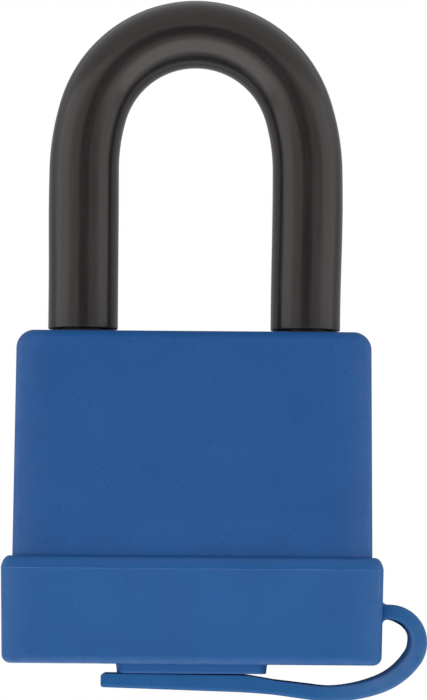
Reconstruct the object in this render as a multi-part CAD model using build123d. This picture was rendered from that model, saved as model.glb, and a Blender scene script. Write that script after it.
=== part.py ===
from build123d import *
import os
from math import atan2, cos, pi, radians, sin, sqrt

# Weatherproof padlock: a brass lock body in a moulded jacket and base cap, with a sleeved shackle
# and a keyway cover on a tether strap. Millimetres, +Z up, the front faces -Y.
# The origin lies on the key axis, at the underside of the base cap.
# It is drawn closed and unlocked: the plug stands at the end of the key's turn, with both bolts drawn back.

# Clearances
FIT_GAP = 0.1
SEAT_GAP = 0.05
RUN_GAP = 0.05
PRESS_GAP = 0.01
LEG_GAP = 0.15

# Shackle and its sleeve
BAR_DIAMETER = 6.5
SLEEVE_WALL = 1.63
SLEEVE_END_EDGE = 0.2
LEG_SPACING = 31.3
OPENING_HEIGHT = 37.5
CROWN_INSET = 0.6
SHOULDER_REACH = 14.35
SHACKLE_LIFT = 15.0
NOTCH_DEPTH = 1.75
NOTCH_MARGIN = 0.2
TOE_LENGTH = 3.0
TIP_CHAMFER = 0.7
COLLAR_LENGTH = 3.0

# Rubber ring round each leg
SEAL_WALL = 1.2
SEAL_HEIGHT = 1.5
SEAL_PROUD = 0.5

# Brass lock body
BLOCK_SIDE_WALL = 3.5
BLOCK_FACE_WALL = 1.95
BLOCK_ROOF = 3.4
BLOCK_EDGE = 0.8
HEEL_FLOOR = 2.5

# Key cylinder: plug, cam driver and the plug's cross pin
PLUG_DIAMETER = 11.0
PLUG_TAIL_LENGTH = 6.2
KEY_TURN = 90.0
KEYWAY_WIDTH = 2.3
KEYWAY_TOP = 3.0
KEYWAY_WARD = 0.7
GROOVE_DROP = 3.0
GROOVE_DEPTH = 0.95
CROSS_PIN_DIAMETER = 1.8
TONGUE_WIDTH = 3.0
TONGUE_HEIGHT = 1.7
DRIVER_LENGTH = 7.6
DRIVER_FLANGE = 2.2
DRIVER_STEM_DIAMETER = 6.5
CAM_THICKNESS = 1.6
DRIVE_PIN_DIAMETER = 1.2
DRIVE_PIN_RISE = 1.0

# Locking bolts
BOLT_DIAMETER = 5.0
BOLT_TRAVEL = 1.75
BOLT_STANDOFF = 0.25
BOLT_NOSE = 4.5
TAIL_LIP = 1.6
TAIL_GAP = 0.2
BOLT_TIP_EDGE = 0.6

# Pin stacks
PIN_DIAMETER = 2.8
PIN_FIRST = 5.4
PIN_PITCH = 3.6
KEY_PIN_LENGTHS = (3.3, 4.2, 3.6, 4.8, 3.9)
PIN_HOLE_DEPTH = 1.0
PIN_TIP_CHAMFER = 0.8
DRIVER_PIN_LENGTH = 5.0
PIN_SPRING_ROOM = 5.8

# Pins pressed in across the body, and coil springs
RETAINER_DIAMETER = 2.0
RETAINER_DROP = 4.3
PRESSED_STOP = 2.5
SHACKLE_WIRE = 0.7
SHACKLE_SPRING_PITCH = 1.25
SMALL_WIRE = 0.3
SMALL_SPRING_PITCH = 0.75

# Jacket
JACKET_WALL = 2.48
JACKET_TOP = 2.0
JACKET_SIDE_DRAFT_DEPTH = 0.45
JACKET_FACE_DRAFT_DEPTH = 0.35
JACKET_SHOULDER = 2.5
JACKET_EDGE = 1.1
SNAP_HEIGHT = 0.4
SNAP_RADIUS = 0.8
SNAP_LENGTH = 14.0
SNAP_LEVEL = 6.0

# Base cap
CAP_WALL = 1.32
CAP_FLOOR = 2.0
CAP_HEIGHT = 14.9
CAP_DRAFT_DEPTH = 0.25
CAP_RIM_FLAT = 0.12
CAP_RIM_DROP = 1.6
CAP_RIM_CREASE = 1.0
CAP_CORNER_EXTRA = 0.2
CAP_FOOT_EDGE = 1.2
BOSS_MARGIN = 4.5
BOSS_DEPTH = 20.2
BOSS_HEIGHT = 1.3
BOSS_DRAFT_DEPTH = 0.15
BOSS_CORNER = 2.0
BOSS_EDGE = 0.3
OPENING_MARGIN = 0.5

# Keyway cover and its tether strap
COVER_INSET = 0.6
TAB_OVERHANG = 2.1
TAB_THICKNESS = 1.9
NECK_THICKNESS = 2.19
NECK_OVERLAP = 4.5
COVER_DIP = 0.18
TAB_EDGE = 0.45
SPIGOT_GAP = 0.4
SPIGOT_WALL = 1.2
SPIGOT_HEIGHT = 2.2
STRAP_THICKNESS = 2.1
STRAP_LEVEL = 7.42
STUB_LENGTH = 0.87
STUB_FILLET = 0.7
STRAP_RADII = (4.2, 10.2, 20.3)
STRAP_TURNS = (126.6, 34.3, 25.4)

# Worked-out radii
bar_radius = BAR_DIAMETER / 2
leg_bore = bar_radius + LEG_GAP
sleeve_bore = bar_radius + PRESS_GAP
sleeve_radius = sleeve_bore + SLEEVE_WALL
seal_bore = bar_radius + RUN_GAP
seal_radius = seal_bore + SEAL_WALL
plug_radius = PLUG_DIAMETER / 2
plug_bore = plug_radius + RUN_GAP
bolt_radius = BOLT_DIAMETER / 2
channel_radius = bolt_radius + RUN_GAP
pin_radius = PIN_DIAMETER / 2
chamber_radius = pin_radius + RUN_GAP
retainer_radius = RETAINER_DIAMETER / 2
cross_pin_radius = CROSS_PIN_DIAMETER / 2
drive_pin_radius = DRIVE_PIN_DIAMETER / 2
leg_x = LEG_SPACING / 2

# Worked-out levels, from the bottom up
block_bottom = CAP_FLOOR + SEAT_GAP
plug_bottom = block_bottom
pin_levels = [plug_bottom + PIN_FIRST + PIN_PITCH * index for index in range(len(KEY_PIN_LENGTHS))]
plug_top = pin_levels[-1] + PLUG_TAIL_LENGTH
driver_bottom = plug_top + SEAT_GAP
cam_top = driver_bottom + DRIVER_LENGTH
bolt_level = cam_top + SEAT_GAP + channel_radius
block_top = bolt_level + channel_radius + BLOCK_ROOF
jacket_bottom = CAP_FLOOR + SEAT_GAP
jacket_top = block_top + SEAT_GAP + JACKET_TOP
seal_bottom = jacket_top + SEAL_PROUD - SEAL_HEIGHT
sleeve_end = jacket_top + SEAL_PROUD + SEAT_GAP
crown_level = jacket_top + OPENING_HEIGHT + sleeve_radius

# Worked-out widths and depths
block_width = LEG_SPACING + 2 * leg_bore + 2 * BLOCK_SIDE_WALL
block_depth = 2 * plug_bore + 2 * BLOCK_FACE_WALL
cavity_width = block_width + 2 * FIT_GAP
cavity_depth = block_depth + 2 * FIT_GAP
jacket_width = cavity_width + 2 * JACKET_WALL
jacket_depth = cavity_depth + 2 * JACKET_WALL
pocket_width = jacket_width + 2 * FIT_GAP
pocket_depth = jacket_depth + 2 * FIT_GAP
cap_width = pocket_width + 2 * CAP_WALL
cap_depth = pocket_depth + 2 * CAP_WALL
cap_rim_edge = CAP_WALL - CAP_RIM_FLAT
cap_corner = cap_rim_edge + CAP_CORNER_EXTRA
opening_radius = plug_radius + OPENING_MARGIN
boss_width = 2 * opening_radius + 2 * BOSS_MARGIN
cover_width = cap_depth - 2 * cap_corner - 2 * COVER_INSET

# Shackle leg levels
notch_half = bolt_radius + NOTCH_MARGIN
toe_end = bolt_level - notch_half - TOE_LENGTH
neck_radius = bar_radius - NOTCH_DEPTH
retainer_level = bolt_level - notch_half - RETAINER_DROP
neck_top = retainer_level + retainer_radius + FIT_GAP
neck_bottom = retainer_level - retainer_radius - FIT_GAP - SHACKLE_LIFT
heel_end = neck_bottom - COLLAR_LENGTH
heel_floor = block_bottom + HEEL_FLOOR
retainer_x = -leg_x + neck_radius + FIT_GAP + retainer_radius

# Cylinder, bolts and pin stacks
half_turn = radians(KEY_TURN / 2)
cam_radius = BOLT_TRAVEL / (2 * sin(half_turn))
bolt_tip = leg_x - bar_radius - BOLT_STANDOFF
bolt_shoulder = bolt_tip - BOLT_NOSE
drive_pin_x = BOLT_TRAVEL / 2
slot_end = drive_pin_x + drive_pin_radius + FIT_GAP
tail_end = slot_end + TAIL_LIP
groove_level = plug_top - GROOVE_DROP
groove_radius = plug_radius - GROOVE_DEPTH
cross_pin_x = -(groove_radius + RUN_GAP + cross_pin_radius)
key_pin_end = sqrt(plug_radius ** 2 - pin_radius ** 2) - RUN_GAP
driver_pin_start = plug_bore + RUN_GAP
pin_spring_start = driver_pin_start + DRIVER_PIN_LENGTH
chamber_plug_start = pin_spring_start + PIN_SPRING_ROOM

# Cover levels
cover_top = -BOSS_HEIGHT - SEAT_GAP
tab_end = -boss_width / 2 - TAB_OVERHANG
neck_end = boss_width / 2 - NECK_OVERLAP
spigot_radius = opening_radius - SPIGOT_GAP
stub_end = cap_width / 2 + STUB_LENGTH


def rod(start, end, radius):
    """Solid round bar between two points."""
    axis = Vector(*end) - Vector(*start)
    plane = Plane(origin=start, z_dir=axis)
    return extrude(plane * Circle(radius), amount=axis.length)


def upright(x, low, high, radius):
    """Solid round bar along Z at a place on the X axis."""
    return rod((x, 0, low), (x, 0, high), radius)


def slab(width, depth, corner, level):
    """Rounded rectangle lying at a level, a section for a loft."""
    return Plane.XY.offset(level) * RectangleRounded(width, depth, corner)


def trapezoid(low_width, high_width, low, high):
    """Face with level edges at two heights, centred across."""
    low_edge = [(-low_width / 2, low), (low_width / 2, low)]
    high_edge = [(high_width / 2, high), (-high_width / 2, high)]
    return make_face(Polyline(*low_edge, *high_edge, close=True))


def drafted_block(low_size, high_size, low, high):
    """Block with drafted sides between two levels."""
    reach = max(low_size + high_size)
    across = Plane.XZ * trapezoid(low_size[0], high_size[0], low, high)
    along = Plane.YZ * trapezoid(low_size[1], high_size[1], low, high)
    return extrude(across, amount=reach, both=True) & extrude(along, amount=reach, both=True)


def steep_edges(shape):
    """Edges that run up more than they run across."""
    return shape.edges().filter_by(lambda edge: abs(edge.tangent_at(0).Z) > abs(edge.tangent_at(0).X))


def span_box(x_span, y_span, z_span):
    """Box given by its two limits along each axis."""
    size = [high - low for low, high in (x_span, y_span, z_span)]
    middle = [(high + low) / 2 for low, high in (x_span, y_span, z_span)]
    return Pos(*middle) * Box(*size)


def arc_point(centre, radius, angle):
    """Point on a circle in the XZ plane."""
    return (centre[0] + radius * cos(angle), 0, centre[1] + radius * sin(angle))


def upright_arc(centre, radius, first, last):
    """Arc in the XZ plane between two angles."""
    angles = (first, (first + last) / 2, last)
    return ThreePointArc(*[arc_point(centre, radius, angle) for angle in angles])


def coil(start, axis, across, radius, wire, length, pitch):
    """Compression spring: one wire swept along half-turn pairs of arcs that follow a helix."""
    half_turns = 2 * int(length / pitch)
    climb = (length - wire) / half_turns
    along = Vector(*axis)
    side = Vector(*across)
    other = along.cross(side)
    first = Vector(*start) + along * (wire / 2)
    slope = climb / (pi * radius)

    def place(step):
        angle = pi * step
        point = first + along * (climb * step) + side * (radius * cos(angle)) + other * (radius * sin(angle))
        heading = other * cos(angle) - side * sin(angle) + along * slope
        return point, heading.normalized()

    arcs = []
    for step in range(2 * half_turns):
        point, heading = place(step / 2)
        end, end_heading = place((step + 1) / 2)
        chord = end - point
        spread = 2 * (1 - heading.dot(end_heading))
        lean = chord.dot(heading + end_heading)
        reach = (sqrt(lean ** 2 + spread * chord.dot(chord)) - lean) / spread
        near = point + heading * reach
        far = end - end_heading * reach
        middle = (near + far) * 0.5
        arcs.append(TangentArc(point, middle, tangent=heading))
        arcs.append(TangentArc(middle, end, tangent=far - near))
    path = Wire(arcs)
    point, heading = place(0)
    return sweep(Plane(origin=point, z_dir=heading) * Circle(wire / 2), path=path)


def shackle_path(left_end, right_end):
    """Centre line of the shackle: two legs and a bow of three tangent arcs."""
    crown_radius = leg_x - CROWN_INSET
    shoulder_radius = leg_x + SHOULDER_REACH
    rise = sqrt((SHOULDER_REACH + CROWN_INSET) ** 2 - SHOULDER_REACH ** 2)
    spring_line = crown_level - crown_radius - rise
    meet = atan2(rise, SHOULDER_REACH)
    edges = [
        Line((-leg_x, 0, left_end), (-leg_x, 0, spring_line)),
        upright_arc((SHOULDER_REACH, spring_line), shoulder_radius, pi, pi - meet),
        upright_arc((0, spring_line + rise), crown_radius, pi - meet, meet),
        upright_arc((-SHOULDER_REACH, spring_line), shoulder_radius, meet, 0),
        Line((leg_x, 0, spring_line), (leg_x, 0, right_end)),
    ]
    return Wire(edges)


def make_shackle():
    """Steel bar with a long heel leg on the left and a short toe leg on the right."""
    path = shackle_path(heel_end, toe_end)
    bar = sweep(Pos(-leg_x, 0, heel_end) * Circle(bar_radius), path=path)
    bar = chamfer(bar.faces().filter_by(Axis.Z).edges(), TIP_CHAMFER)
    notch_span = (bolt_level - notch_half, bolt_level + notch_half)
    for side in (-1, 1):
        inner_face = side * (leg_x - bar_radius)
        floor = inner_face + side * NOTCH_DEPTH
        clear = inner_face - side * bar_radius
        bar -= span_box(sorted((floor, clear)), (-bar_radius, bar_radius), notch_span)
    neck_span = (neck_bottom, neck_top)
    return bar - (upright(-leg_x, *neck_span, leg_bore) - upright(-leg_x, *neck_span, neck_radius))


def make_shackle_sleeve():
    """Plastic sleeve over the part of the shackle outside the body."""
    path = shackle_path(sleeve_end, sleeve_end)
    ring = Circle(sleeve_radius) - Circle(sleeve_bore)
    sleeve = sweep(Pos(-leg_x, 0, sleeve_end) * ring, path=path)
    ends = sleeve.edges().filter_by(GeomType.CIRCLE).filter_by_position(Axis.Z, sleeve_end, sleeve_end)
    rims = ends.filter_by(lambda edge: edge.radius > sleeve_bore + SLEEVE_WALL / 2)
    return fillet(rims, SLEEVE_END_EDGE)


def make_seal(x):
    """Rubber wiper ring in the top of the jacket."""
    top = seal_bottom + SEAL_HEIGHT
    return upright(x, seal_bottom, top, seal_radius) - upright(x, seal_bottom, top, seal_bore)


def make_lock_body():
    """Brass block with the bores for the legs, the plug, the bolts and the pin stacks."""
    block = loft([slab(block_width, block_depth, BLOCK_EDGE, level) for level in (block_bottom, block_top)])
    block -= upright(leg_x, toe_end - FIT_GAP, block_top, leg_bore)
    block -= upright(-leg_x, heel_floor, block_top, leg_bore)
    block -= upright(0, block_bottom, bolt_level, plug_bore)
    block -= rod((-leg_x, 0, bolt_level), (block_width / 2, 0, bolt_level), channel_radius)
    for level in pin_levels:
        block -= rod((0, 0, level), (block_width / 2, 0, level), chamber_radius)
    block -= pressed_pin(retainer_x, retainer_level, retainer_radius + PRESS_GAP)
    return block - pressed_pin(cross_pin_x, groove_level, cross_pin_radius + PRESS_GAP)


def pressed_pin(x, level, radius):
    """Round pin along Y, pressed in from the back of the block."""
    back = block_depth / 2
    return rod((x, back, level), (x, PRESSED_STOP - back, level), radius)


def make_channel_plug():
    """Brass plug that closes the drilled end of the bolt channel."""
    inner = leg_x + leg_bore + FIT_GAP
    return rod((inner, 0, bolt_level), (block_width / 2, 0, bolt_level), channel_radius - PRESS_GAP)


def make_chamber_plugs():
    """Five brass plugs that close the drilled ends of the pin chambers."""
    radius = chamber_radius - PRESS_GAP
    plugs = [rod((chamber_plug_start, 0, z), (block_width / 2, 0, z), radius) for z in pin_levels]
    return Compound(children=plugs)


def turned(shape):
    """Turns a piece of the cylinder from the locked place, pins towards +X, to the end of the key's turn."""
    return Rot(0, 0, KEY_TURN) * shape


def make_cylinder_plug():
    """Brass plug with its keyway, pin holes, cross-pin groove and driver slot."""
    plug = upright(0, plug_bottom, plug_top, plug_radius)
    key_end = pin_levels[-1] + chamber_radius
    half = KEYWAY_WIDTH / 2
    key_span = (plug_bottom, key_end)
    plug -= span_box((-plug_radius, -KEYWAY_TOP / 2), (-half, half - KEYWAY_WARD), key_span)
    plug -= span_box((-KEYWAY_TOP / 2 - KEYWAY_WARD, KEYWAY_TOP / 2), (KEYWAY_WARD - half, half), key_span)
    plug -= span_box((KEYWAY_TOP / 2 - KEYWAY_WARD, KEYWAY_TOP), (-half, half - KEYWAY_WARD), key_span)
    for level in pin_levels:
        plug -= rod((-PIN_HOLE_DEPTH, 0, level), (plug_radius, 0, level), chamber_radius)
    groove_half = cross_pin_radius + RUN_GAP
    groove_span = (groove_level - groove_half, groove_level + groove_half)
    plug -= upright(0, *groove_span, plug_bore) - upright(0, *groove_span, groove_radius)
    slot_half = TONGUE_WIDTH / 2 + RUN_GAP
    slot_span = (driver_bottom - TONGUE_HEIGHT - SEAT_GAP, plug_top)
    plug -= span_box((-plug_radius, plug_radius), (-slot_half, slot_half), slot_span)
    return turned(plug)


def make_plug_cam():
    """Cam driver: a tongue in the plug's slot, a stem, and a disc with the two drive pins."""
    tongue_half = TONGUE_WIDTH / 2
    tongue_span = (driver_bottom - TONGUE_HEIGHT, driver_bottom + DRIVER_FLANGE)
    tongue = span_box((-plug_radius, plug_radius), (-tongue_half, tongue_half), tongue_span)
    tongue &= upright(0, *tongue_span, plug_radius)
    driver = turned(tongue) + upright(0, driver_bottom, driver_bottom + DRIVER_FLANGE, plug_radius)
    driver += upright(0, driver_bottom, cam_top, DRIVER_STEM_DIAMETER / 2)
    driver += upright(0, cam_top - CAM_THICKNESS, cam_top, plug_radius)
    pin_top = bolt_level + DRIVE_PIN_RISE
    for angle in (half_turn - pi / 2, half_turn + pi / 2):
        x = cam_radius * cos(angle)
        y = cam_radius * sin(angle)
        driver += rod((x, y, cam_top - CAM_THICKNESS), (x, y, pin_top), drive_pin_radius)
    return driver


def make_bolt():
    """Heel-side locking bolt: a round nose and a half-round tail with a slot for its drive pin."""
    bolt = rod((-bolt_tip, 0, bolt_level), (tail_end, 0, bolt_level), bolt_radius)
    bolt = chamfer(bolt.faces().sort_by(Axis.X)[0].edges(), BOLT_TIP_EDGE)
    bolt_span = (bolt_level - bolt_radius, bolt_level + bolt_radius)
    bolt -= span_box((-bolt_shoulder, tail_end), (-TAIL_GAP / 2, bolt_radius), bolt_span)
    pin_reach = cam_radius + drive_pin_radius
    slot_x = (drive_pin_x - drive_pin_radius - BOLT_TRAVEL - FIT_GAP, slot_end)
    slot_z = (bolt_level - bolt_radius, bolt_level + DRIVE_PIN_RISE + FIT_GAP)
    return bolt - span_box(slot_x, (-pin_reach - FIT_GAP, 0), slot_z)


def make_bolt_spring(side):
    """Spring in the half channel between one bolt's tail and the other bolt's shoulder."""
    radius = (channel_radius - TAIL_GAP) / 2 - SMALL_WIRE
    start = (side * (tail_end + SEAT_GAP), -side * channel_radius / 2, bolt_level)
    room = bolt_shoulder - tail_end - 2 * SEAT_GAP
    return coil(start, (side, 0, 0), (0, 0, 1), radius, SMALL_WIRE, room, SMALL_SPRING_PITCH)


def make_key_pin(level, length):
    """Pointed key pin in the plug, its outer end at the shear line."""
    tip = key_pin_end - length
    pin = rod((tip, 0, level), (key_pin_end, 0, level), pin_radius)
    pin = chamfer(pin.faces().sort_by(Axis.X)[0].edges(), PIN_TIP_CHAMFER)
    return turned(pin)


def make_driver_pin(level):
    """Driver pin in the body's chamber, its inner end at the shear line."""
    return rod((driver_pin_start, 0, level), (pin_spring_start, 0, level), pin_radius)


def make_pin_spring(level):
    """Spring between a driver pin and its chamber plug."""
    radius = pin_radius - SMALL_WIRE
    start = (pin_spring_start + SEAT_GAP, 0, level)
    room = PIN_SPRING_ROOM - 2 * SEAT_GAP
    return coil(start, (1, 0, 0), (0, 0, 1), radius, SMALL_WIRE, room, SMALL_SPRING_PITCH)


def make_shackle_spring():
    """Spring under the heel leg that lifts the unlocked shackle."""
    radius = bar_radius - SHACKLE_WIRE
    room = heel_end - heel_floor - 2 * SEAT_GAP
    start = (-leg_x, 0, heel_floor + SEAT_GAP)
    return coil(start, (0, 0, 1), (1, 0, 0), radius, SHACKLE_WIRE, room, SHACKLE_SPRING_PITCH)


def snap_rib(side, extra):
    """Rib across the jacket's face that clicks into a groove in the cap."""
    level = jacket_bottom + SNAP_LEVEL
    taper = JACKET_FACE_DRAFT_DEPTH * SNAP_LEVEL / (jacket_top - jacket_bottom)
    y = side * (jacket_depth / 2 - taper + SNAP_HEIGHT - SNAP_RADIUS)
    half = SNAP_LENGTH / 2 + extra
    return rod((-half, y, level), (half, y, level), SNAP_RADIUS + extra)


def make_body_jacket():
    """Moulded jacket over the brass block, open below."""
    foot = (jacket_width, jacket_depth)
    crest = (jacket_width - 2 * JACKET_SIDE_DRAFT_DEPTH, jacket_depth - 2 * JACKET_FACE_DRAFT_DEPTH)
    jacket = drafted_block(foot, crest, jacket_bottom, jacket_top)
    shoulders = jacket.faces().sort_by(Axis.Z)[-1].edges().filter_by(Axis.Y)
    jacket = fillet(shoulders, JACKET_SHOULDER)
    front_and_back = jacket.faces().sort_by(Axis.Y)
    outlines = front_and_back[0].edges() + front_and_back[-1].edges()
    jacket = fillet(outlines.filter_by(lambda edge: edge.center().Z > jacket_bottom), JACKET_EDGE)
    jacket += snap_rib(-1, 0) + snap_rib(1, 0)
    cavity_span = (jacket_bottom, block_top + SEAT_GAP)
    jacket -= loft([slab(cavity_width, cavity_depth, BLOCK_EDGE, level) for level in cavity_span])
    for x in (-leg_x, leg_x):
        jacket -= upright(x, block_top, jacket_top, leg_bore)
        jacket -= upright(x, seal_bottom - SEAT_GAP, jacket_top, seal_radius + SEAT_GAP)
    return jacket


def make_base_cap():
    """Moulded base cap: a tray round the jacket's foot, with the keyway boss and the strap's root."""
    foot = (cap_width - 2 * CAP_DRAFT_DEPTH, cap_depth)
    cap = drafted_block(foot, (cap_width, cap_depth), 0, CAP_HEIGHT)
    cap = fillet(steep_edges(cap), cap_corner)
    rim = cap.faces().sort_by(Axis.Z)[-1]
    cap = chamfer(rim.edges(), cap_rim_edge, CAP_RIM_DROP, reference=rim)
    crease = cap.edges().filter_by_position(Axis.Z, *[CAP_HEIGHT - CAP_RIM_DROP] * 2)
    cap = fillet(crease, CAP_RIM_CREASE)
    cap = fillet(cap.faces().sort_by(Axis.Z)[0].edges(), CAP_FOOT_EDGE)
    half_strap = STRAP_THICKNESS / 2
    stub_span = (STRAP_LEVEL - half_strap, STRAP_LEVEL + half_strap)
    cap += span_box((pocket_width / 2, stub_end), (-cover_width / 2, cover_width / 2), stub_span)
    root = cap.edges().filter_by(Axis.Y).filter_by_position(Axis.Z, *stub_span)
    root = root.filter_by_position(Axis.X, cap_width / 2 - CAP_DRAFT_DEPTH, cap_width / 2)
    cap = fillet(root, STUB_FILLET)
    draw = 2 * BOSS_DRAFT_DEPTH
    boss_foot = (boss_width - draw, BOSS_DEPTH - draw)
    boss = drafted_block(boss_foot, (boss_width, BOSS_DEPTH), -BOSS_HEIGHT, CAP_FLOOR / 2)
    boss = fillet(steep_edges(boss), BOSS_CORNER)
    cap += fillet(boss.faces().sort_by(Axis.Z)[0].edges(), BOSS_EDGE)
    cap -= loft([slab(pocket_width, pocket_depth, JACKET_EDGE, level) for level in (CAP_FLOOR, CAP_HEIGHT)])
    cap -= upright(0, -BOSS_HEIGHT, CAP_FLOOR, opening_radius)
    for side in (-1, 1):
        cap -= snap_rib(side, FIT_GAP)
    return cap


def make_keyway_cover():
    """Cover flap under the boss, with a pull tab on the left and a hollow spigot in the key opening."""
    outline = [
        (tab_end, cover_top),
        (neck_end, cover_top - COVER_DIP),
        (neck_end, cover_top - COVER_DIP - NECK_THICKNESS),
        (tab_end, cover_top - TAB_THICKNESS),
    ]
    plate = extrude(Plane.XZ * make_face(Polyline(*outline, close=True)), amount=cover_width / 2, both=True)
    plate = fillet(plate.faces().sort_by(Axis.X)[0].edges(), TAB_EDGE)
    root = cover_top - TAB_THICKNESS / 2
    top = cover_top + SPIGOT_HEIGHT
    spigot = upright(0, root, top, spigot_radius) - upright(0, root, top, spigot_radius - SPIGOT_WALL)
    return plate + spigot


def make_cover_strap():
    """Tether strap from the cap's side, round a loop of tangent arcs, to the cover."""
    outer = []
    inner = []
    half = STRAP_THICKNESS / 2
    x, z = stub_end, STRAP_LEVEL
    heading = 0.0
    for radius, turn in zip(STRAP_RADII, STRAP_TURNS):
        centre = (x + radius * sin(heading), z - radius * cos(heading))
        first = heading + pi / 2
        last = first - radians(turn)
        outer.append(upright_arc(centre, radius + half, first, last))
        inner.append(upright_arc(centre, radius - half, first, last))
        x, _, z = arc_point(centre, radius, last)
        heading -= radians(turn)
    neck_top_point = (neck_end, 0, cover_top - COVER_DIP)
    neck_low_point = (neck_end, 0, cover_top - COVER_DIP - NECK_THICKNESS)
    rim = [
        Line(inner[0] @ 0, outer[0] @ 0),
        Line(outer[-1] @ 1, neck_low_point),
        Line(neck_low_point, neck_top_point),
        Line(neck_top_point, inner[-1] @ 1),
    ]
    band = Face(Wire(outer + inner + rim))
    return extrude(band, amount=cover_width / 2, dir=(0, 1, 0), both=True)


def make_parts():
    """Every piece of the padlock, by name."""
    bolt = make_bolt()
    parts = {
        "lock_body": make_lock_body(),
        "body_jacket": make_body_jacket(),
        "base_cap": make_base_cap(),
        "cover_strap": make_cover_strap(),
        "keyway_cover": make_keyway_cover(),
        "shackle": make_shackle(),
        "shackle_sleeve": make_shackle_sleeve(),
        "heel_seal": make_seal(-leg_x),
        "toe_seal": make_seal(leg_x),
        "shackle_spring": make_shackle_spring(),
        "shackle_retaining_pin": pressed_pin(retainer_x, retainer_level, retainer_radius),
        "cylinder_plug": make_cylinder_plug(),
        "plug_cam": make_plug_cam(),
        "plug_cross_pin": pressed_pin(cross_pin_x, groove_level, cross_pin_radius),
        "heel_bolt": bolt,
        "toe_bolt": Rot(0, 0, 180) * bolt,
        "front_bolt_spring": make_bolt_spring(1),
        "rear_bolt_spring": make_bolt_spring(-1),
        "bolt_channel_plug": make_channel_plug(),
        "chamber_plugs": make_chamber_plugs(),
    }
    for number, (level, length) in enumerate(zip(pin_levels, KEY_PIN_LENGTHS), start=1):
        parts[f"key_pin_{number}"] = make_key_pin(level, length)
        parts[f"driver_pin_{number}"] = make_driver_pin(level)
        parts[f"pin_spring_{number}"] = make_pin_spring(level)
    return parts


os.makedirs("parts", exist_ok=True)
for node, shape in make_parts().items():
    export_step(shape, f"parts/{node}.step")
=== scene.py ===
"""Looks of the weatherproof padlock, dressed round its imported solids.

Sizes in this file are millimetres until a mesh is made, and meshes are in metres.
+Z is up, the front faces -Y, and the origin lies on the key axis at the underside of the base cap.
"""

import logging
import math
from abc import ABC, abstractmethod
from collections.abc import Sequence
from dataclasses import dataclass
from enum import Enum, IntEnum

import bmesh
import bpy
import numpy as np
from mathutils import Matrix, Vector

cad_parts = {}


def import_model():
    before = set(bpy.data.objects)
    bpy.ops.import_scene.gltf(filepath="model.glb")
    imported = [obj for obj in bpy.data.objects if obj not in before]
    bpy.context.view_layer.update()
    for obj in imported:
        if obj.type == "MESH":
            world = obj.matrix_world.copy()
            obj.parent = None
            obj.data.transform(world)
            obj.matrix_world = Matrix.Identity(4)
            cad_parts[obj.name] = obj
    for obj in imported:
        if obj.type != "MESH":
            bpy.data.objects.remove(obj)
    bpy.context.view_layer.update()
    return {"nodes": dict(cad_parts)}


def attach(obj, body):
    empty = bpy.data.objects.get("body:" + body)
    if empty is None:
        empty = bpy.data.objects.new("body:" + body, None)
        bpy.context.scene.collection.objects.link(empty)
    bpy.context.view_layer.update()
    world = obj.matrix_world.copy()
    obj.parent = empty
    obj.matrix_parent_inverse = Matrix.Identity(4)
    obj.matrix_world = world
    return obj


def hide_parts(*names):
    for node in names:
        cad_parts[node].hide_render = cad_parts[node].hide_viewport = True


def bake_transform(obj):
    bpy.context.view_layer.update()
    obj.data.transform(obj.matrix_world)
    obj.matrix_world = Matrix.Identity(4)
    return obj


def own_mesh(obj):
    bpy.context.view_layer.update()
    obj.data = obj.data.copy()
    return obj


Array = np.ndarray
Material = bpy.types.Material
Colour = tuple[float, float, float]
Pair = tuple[float, float]
Point = tuple[float, float, float]
# A grid with its shares of lighter edge, for scuffs and painted highlight and light.
LighterEdges = tuple[Array, Array | float]
Node = bpy.types.Node
Piece = bpy.types.Object
Socket = bpy.types.NodeSocket
LOG = logging.getLogger("padlock")
MM = 0.001
WELD = 1.0e-6
PIN_COUNT = 5
NOISE_LOW, NOISE_HIGH = 0.3, 0.7
LEG_X = 15.65
WHITE = (1.0, 1.0, 1.0, 1.0)
FLIP_X = np.array([-1.0, 1.0])
FLIP_Y = np.array([1.0, -1.0])


class Body(Enum):
    """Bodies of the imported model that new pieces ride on."""

    LOCK_CASE = "lock_case"
    SHACKLE = "shackle"
    KEYWAY_COVER = "keyway_cover"


class Slot(Enum):
    """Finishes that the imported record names."""

    JACKET = "jacket_plastic"
    CAP = "cap_plastic"
    COVER = "cover_plastic"
    SLEEVE = "sleeve_plastic"
    SEAL = "seal_rubber"
    SHACKLE = "shackle_steel"
    HARDENED = "hardened_steel"
    SPRING = "spring_steel"
    BODY = "body_brass"
    CYLINDER = "cylinder_brass"


class StrapRun(IntEnum):
    """Runs of the strap's centre line, from the cap to the pull tab."""

    STUB = 0
    TIGHT_ARC = 1
    MIDDLE_ARC = 2
    WIDE_ARC = 3
    NECK = 4
    BEND = 5
    PLATE = 6


def eased(count: int) -> Array:
    """Count + 1 places from 0 to 1, finer towards both ends: half of one minus a cosine."""
    return 0.5 - 0.5 * np.cos(np.pi * np.linspace(0.0, 1.0, count + 1))


def tightening(count: int) -> Array:
    """Count + 1 places from 0 to 1, finer towards 1: a quarter of a sine wave."""
    return np.sin(np.pi / 2 * np.linspace(0.0, 1.0, count + 1))


def quarter_turn(count: int) -> Array:
    """Count + 1 even angles from 0 to a right angle, in radians."""
    return np.linspace(0.0, np.pi / 2, count + 1)


def even_angles(count: int) -> Array:
    """Angles of a full turn without the repeated end, in radians."""
    return np.linspace(0.0, 2 * np.pi, count, endpoint=False)


def ring(angle: Array) -> Array:
    """Points of the unit circle, N by 2: the cosine and sine of each angle."""
    return np.stack([np.cos(angle), np.sin(angle)], axis=-1)


def hump(way: Array) -> Array:
    """Raised cosine: 1 at 0, and 0 from -1 down and from 1 up."""
    return 0.5 + 0.5 * np.cos(np.pi * np.clip(way, -1.0, 1.0))


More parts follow.
